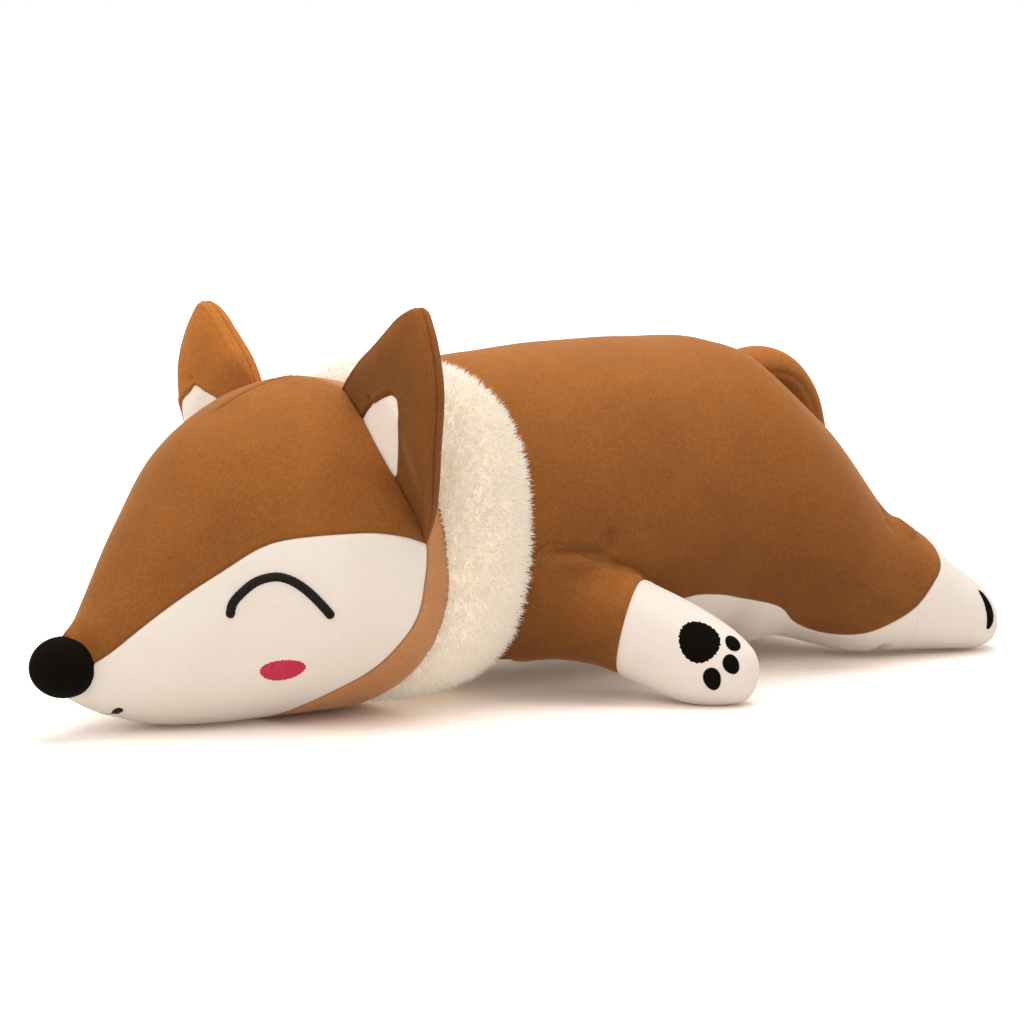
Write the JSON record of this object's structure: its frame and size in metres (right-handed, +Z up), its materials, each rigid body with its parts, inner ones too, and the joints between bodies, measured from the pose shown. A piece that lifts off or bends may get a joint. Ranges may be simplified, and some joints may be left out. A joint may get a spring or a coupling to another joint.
{
  "type": "plush fox",
  "caption": "Stuffed fox lying flat on its belly, with a fur collar, pointed ears, stitched closed eyes and paw pads, and limbs that lift.",
  "frame": {"origin": "on the floor under the middle of the toy's box", "axes": "+X from the nose to the tail, +Y to the fox's right, +Z up"},
  "size_m": [0.5104, 0.2624, 0.1835],
  "materials": {
    "brown_plush": "short velvety pile",
    "tan_plush": "short velvety pile, brushed lighter",
    "cream_plush": "short velvety pile",
    "cream_fur": "long clumped faux fur",
    "black_velvet": "black pile",
    "black_thread": "satin stitched thread",
    "red_thread": "satin stitched thread",
    "fibre_filling": "loose white fibre"
  },
  "bodies": {
    "torso": {"fur_collar": "cream_fur", "back_panel": "brown_plush", "belly_panel": "cream_plush", "hind_foot_left": "cream_plush", "hind_foot_right": "cream_plush", "body_filling": "fibre_filling", "foot_palm_left": "black_thread", "foot_toe_left_1": "black_thread", "foot_toe_left_2": "black_thread", "foot_toe_left_3": "black_thread", "foot_palm_right": "black_thread", "foot_toe_right_1": "black_thread", "foot_toe_right_2": "black_thread", "foot_toe_right_3": "black_thread"},
    "head": {"crown_panel": "brown_plush", "cheek_panel_left": "cream_plush", "cheek_panel_right": "cream_plush", "head_back_panel": "tan_plush", "head_filling": "fibre_filling", "nose": "black_velvet", "eye_stitch_left": "black_thread", "eye_stitch_right": "black_thread", "blush_left": "red_thread", "blush_right": "red_thread", "mouth_stitch": "black_thread"},
    "ear_left": {"ear_left": "brown_plush", "inner_ear_left": "cream_plush"},
    "ear_right": {"ear_right": "brown_plush", "inner_ear_right": "cream_plush"},
    "arm_left": {"sleeve_left": "brown_plush", "front_paw_left": "cream_plush", "arm_filling_left": "fibre_filling", "paw_palm_left": "black_thread", "paw_toe_left_1": "black_thread", "paw_toe_left_2": "black_thread", "paw_toe_left_3": "black_thread"},
    "arm_right": {"sleeve_right": "brown_plush", "front_paw_right": "cream_plush", "arm_filling_right": "fibre_filling", "paw_palm_right": "black_thread", "paw_toe_right_1": "black_thread", "paw_toe_right_2": "black_thread", "paw_toe_right_3": "black_thread"},
    "tail": {"tail": "brown_plush", "tail_tip": "cream_plush"}
  },
  "joints": [
    {"name": "neck_nod", "type": "hinge", "parent": "torso", "child": "head", "pos_m": [-0.0634, 0, 0.1279], "axis": [0, 1, 0], "range_deg": [0, 12], "stiffness_Nm_per_rad": 0.4},
    {"name": "ear_fold_left", "type": "hinge", "parent": "head", "child": "ear_left", "pos_m": [-0.1105, -0.0575, 0.1145], "axis": [0.1761, -0.5662, -0.8052], "range_deg": [-15, 15], "stiffness_Nm_per_rad": 0.05},
    {"name": "ear_fold_right", "type": "hinge", "parent": "head", "child": "ear_right", "pos_m": [-0.1105, 0.0575, 0.1145], "axis": [0.1761, 0.5662, -0.8052], "range_deg": [-15, 15], "stiffness_Nm_per_rad": 0.05},
    {"name": "arm_lift_left", "type": "hinge", "parent": "torso", "child": "arm_left", "pos_m": [0.0006, -0.075, 0.066], "axis": [-1, 0, 0], "range_deg": [0, 35], "stiffness_Nm_per_rad": 0.1},
    {"name": "arm_lift_right", "type": "hinge", "parent": "torso", "child": "arm_right", "pos_m": [0.0006, 0.075, 0.066], "axis": [1, 0, 0], "range_deg": [0, 35], "stiffness_Nm_per_rad": 0.1},
    {"name": "tail_lift", "type": "hinge", "parent": "torso", "child": "tail", "pos_m": [0.1485, 0, 0.1479], "axis": [0, -1, 0], "range_deg": [0, 35], "stiffness_Nm_per_rad": 0.1}
  ]
}
